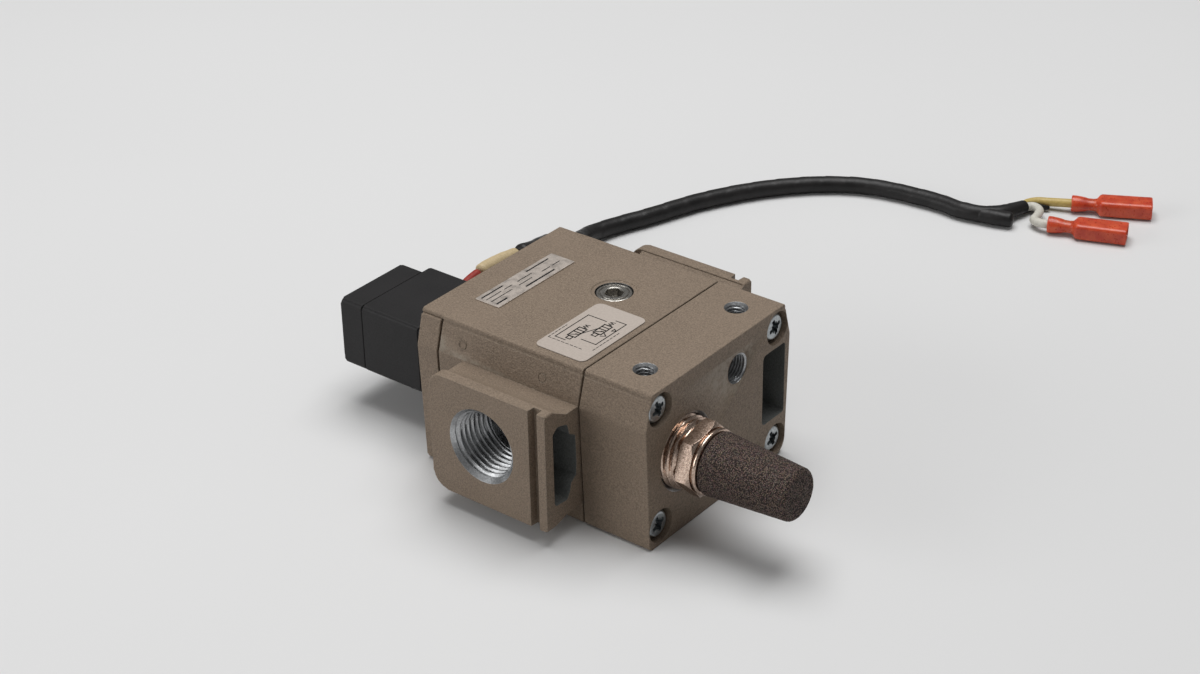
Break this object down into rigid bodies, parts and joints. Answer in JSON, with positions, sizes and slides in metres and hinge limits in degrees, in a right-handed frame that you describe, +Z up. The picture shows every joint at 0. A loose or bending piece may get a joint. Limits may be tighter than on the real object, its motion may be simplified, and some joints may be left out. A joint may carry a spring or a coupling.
{
  "type": "soft start-up valve with exhaust muffler",
  "caption": "Painted valve block with threaded side ports, a sintered bronze muffler screwed into its front, a black pilot solenoid behind and a taped lead with push-on terminals.",
  "frame": {"origin": "middle of the flat underside, under the middle of the length from solenoid cap to muffler tip", "axes": "+X towards the muffler, +Y from the inlet port to the outlet port, +Z up"},
  "size_m": [0.1633, 0.2788, 0.0488],
  "materials": {
    "steel": "ground",
    "brass": "turned",
    "solenoid_plastic": "fine grain",
    "winding_copper": "wound copper wire",
    "wire_insulation": "satin",
    "zinc_screw": "zinc plated",
    "cast_paint": "fine sand texture",
    "gasket_rubber": "matte",
    "seal_rubber": "matte",
    "lead_tape": "wrapped tape",
    "red_insulation": "satin",
    "beige_sleeve": "braided glass sleeve",
    "adapter_brass": "turned, lightly tarnished",
    "sintered_bronze": "sintered grains",
    "nameplate_foil": "satin foil",
    "needle_steel": "turned",
    "button_plastic": "satin",
    "piston_aluminium": "turned",
    "symbol_label": "printed film",
    "terminal_brass": "stamped, tinned",
    "terminal_nylon": "translucent nylon"
  },
  "bodies": {
    "valve_body": {"check_plug": "brass", "check_spring": "steel", "coil_housing": "solenoid_plastic", "coil_winding": "winding_copper", "core_tube": "brass", "core_wire_1": "wire_insulation", "core_wire_2": "wire_insulation", "cover_screw_1": "zinc_screw", "cover_screw_2": "zinc_screw", "cover_screw_3": "zinc_screw", "cover_screw_4": "zinc_screw", "fixed_core": "steel", "front_cover": "cast_paint", "front_gasket": "gasket_rubber", "guide_o_ring": "seal_rubber", "lead_grommet": "seal_rubber", "lead_jacket": "lead_tape", "lead_red": "red_insulation", "lead_sleeve": "beige_sleeve", "main_body": "cast_paint", "muffler_adapter": "adapter_brass", "muffler_element": "sintered_bronze", "nameplate": "nameplate_foil", "pilot_valve_body": "solenoid_plastic", "plunger_spring": "steel", "rear_cover": "cast_paint", "rear_gasket": "gasket_rubber", "rear_screw_1": "zinc_screw", "rear_screw_2": "zinc_screw", "rear_screw_3": "zinc_screw", "rear_screw_4": "zinc_screw", "return_spring": "steel", "shaft_bush": "brass", "solenoid_cap": "solenoid_plastic", "solenoid_screw_1": "zinc_screw", "solenoid_screw_2": "zinc_screw", "symbol_label": "symbol_label", "terminal_receptacle_1": "terminal_brass", "terminal_receptacle_2": "terminal_brass", "terminal_sleeve_1": "terminal_nylon", "terminal_sleeve_2": "terminal_nylon", "valve_guide": "brass"},
    "needle_seal": {"needle_o_ring": "seal_rubber"},
    "needle": {"needle_screw": "needle_steel"},
    "shaft": {"main_shaft": "steel", "pilot_piston": "piston_aluminium", "piston_seal": "seal_rubber", "main_poppet": "brass", "exhaust_poppet": "brass"},
    "check_valve": {"check_ball": "steel"},
    "armature": {"plunger": "steel"},
    "override": {"override_button": "button_plastic"}
  },
  "joints": [
    {"name": "needle_travel", "type": "slide", "parent": "valve_body", "child": "needle_seal", "axis": [0, 0, 1], "range_m": [-0.0015, 0.0015]},
    {"name": "needle_turn", "type": "hinge", "parent": "needle_seal", "child": "needle", "pos_m": [-0.00065, 0.0085, 0.045], "axis": [0, 0, 1], "range_deg": [-540, 540]},
    {"name": "shaft_slide", "type": "slide", "parent": "valve_body", "child": "shaft", "axis": [1, 0, 0], "range_m": [0, 0.003], "stiffness_N_per_m": 1500, "springref_m": -0.004, "deforming": ["return_spring"]},
    {"name": "check_slide", "type": "slide", "parent": "valve_body", "child": "check_valve", "axis": [-1, 0, 0], "range_m": [0, 0.002], "stiffness_N_per_m": 150, "springref_m": -0.002, "deforming": ["check_spring"]},
    {"name": "plunger_slide", "type": "slide", "parent": "valve_body", "child": "armature", "axis": [-1, 0, 0], "range_m": [0, 0.0012], "stiffness_N_per_m": 500, "springref_m": -0.002, "deforming": ["plunger_spring"]},
    {"name": "override_press", "type": "slide", "parent": "valve_body", "child": "override", "axis": [0, -1, 0], "range_m": [0, 0.001], "stiffness_N_per_m": 1200, "springref_m": -0.001}
  ],
  "couplings": [
    {"joint": "needle_turn", "follows": "needle_travel", "rad_per_m": 6283.2}
  ]
}
